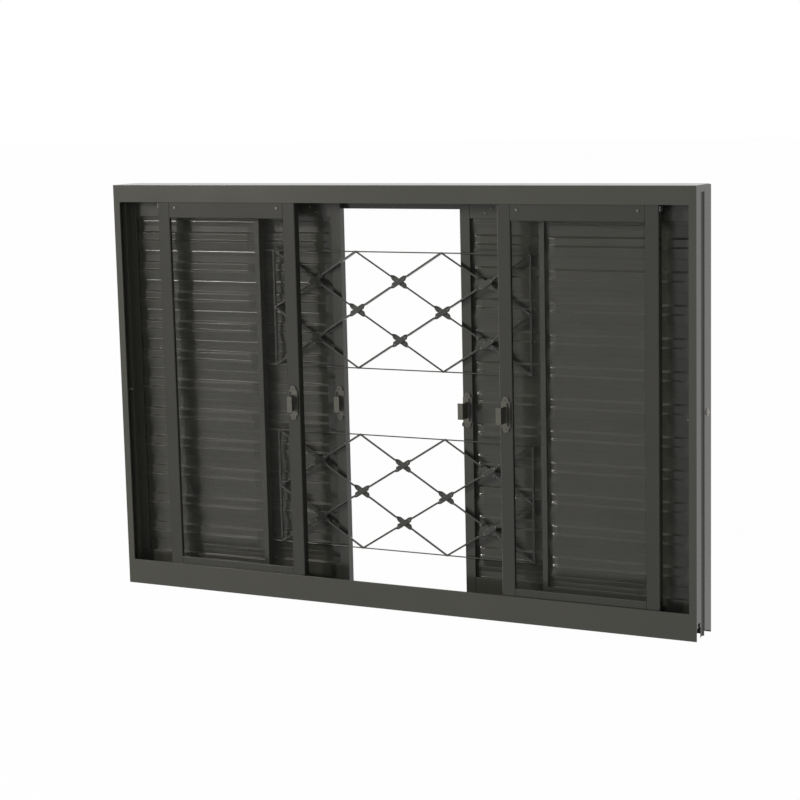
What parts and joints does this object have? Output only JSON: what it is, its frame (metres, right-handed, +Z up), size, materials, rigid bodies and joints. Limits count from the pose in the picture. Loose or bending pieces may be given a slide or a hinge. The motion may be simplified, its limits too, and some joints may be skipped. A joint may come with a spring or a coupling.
{
  "type": "sliding steel window with louvred shutters and a grille",
  "caption": "Painted steel window with sliding glass sashes, fixed and sliding louvred shutters, and a twisted-bar grille behind them, shown partly open.",
  "frame": {"origin": "middle of the bottom of the whole window: centred on its width and depth, at the height that its face and drip edge stand on", "axes": "+X to the right as seen from the room, +Y from the room towards the weather side, +Z up"},
  "size_m": [1.5, 0.124, 1],
  "materials": {
    "frame_paint": "satin dark grey anticorrosive paint on sheet steel",
    "grille_paint": "satin dark grey paint on flat bar",
    "latch_metal": "painted pressed steel, worn at the edges",
    "clear_glass": "clear float glass"
  },
  "bodies": {
    "root": {"head": "frame_paint", "left_fixed_shutter_bottom_rail": "frame_paint", "left_fixed_shutter_inner_stile": "frame_paint", "left_fixed_shutter_outer_stile": "frame_paint", "left_fixed_shutter_slats": "frame_paint", "left_fixed_shutter_top_rail": "frame_paint", "left_jamb": "frame_paint", "left_sash_bottom_rail": "frame_paint", "left_sash_glass": "clear_glass", "left_sash_inner_stile": "frame_paint", "left_sash_latch": "latch_metal", "left_sash_outer_stile": "frame_paint", "left_sash_top_rail": "frame_paint", "left_shutter_latch": "latch_metal", "left_sliding_shutter_bottom_rail": "frame_paint", "left_sliding_shutter_inner_stile": "frame_paint", "left_sliding_shutter_outer_stile": "frame_paint", "left_sliding_shutter_slats": "frame_paint", "left_sliding_shutter_top_rail": "frame_paint", "lower_grille": "grille_paint", "right_fixed_shutter_bottom_rail": "frame_paint", "right_fixed_shutter_inner_stile": "frame_paint", "right_fixed_shutter_outer_stile": "frame_paint", "right_fixed_shutter_slats": "frame_paint", "right_fixed_shutter_top_rail": "frame_paint", "right_jamb": "frame_paint", "right_sash_bottom_rail": "frame_paint", "right_sash_glass": "clear_glass", "right_sash_inner_stile": "frame_paint", "right_sash_latch": "latch_metal", "right_sash_outer_stile": "frame_paint", "right_sash_top_rail": "frame_paint", "right_shutter_latch": "latch_metal", "right_sliding_shutter_bottom_rail": "frame_paint", "right_sliding_shutter_inner_stile": "frame_paint", "right_sliding_shutter_outer_stile": "frame_paint", "right_sliding_shutter_slats": "frame_paint", "right_sliding_shutter_top_rail": "frame_paint", "sill": "frame_paint", "upper_grille": "grille_paint"}
  },
  "joints": []
}
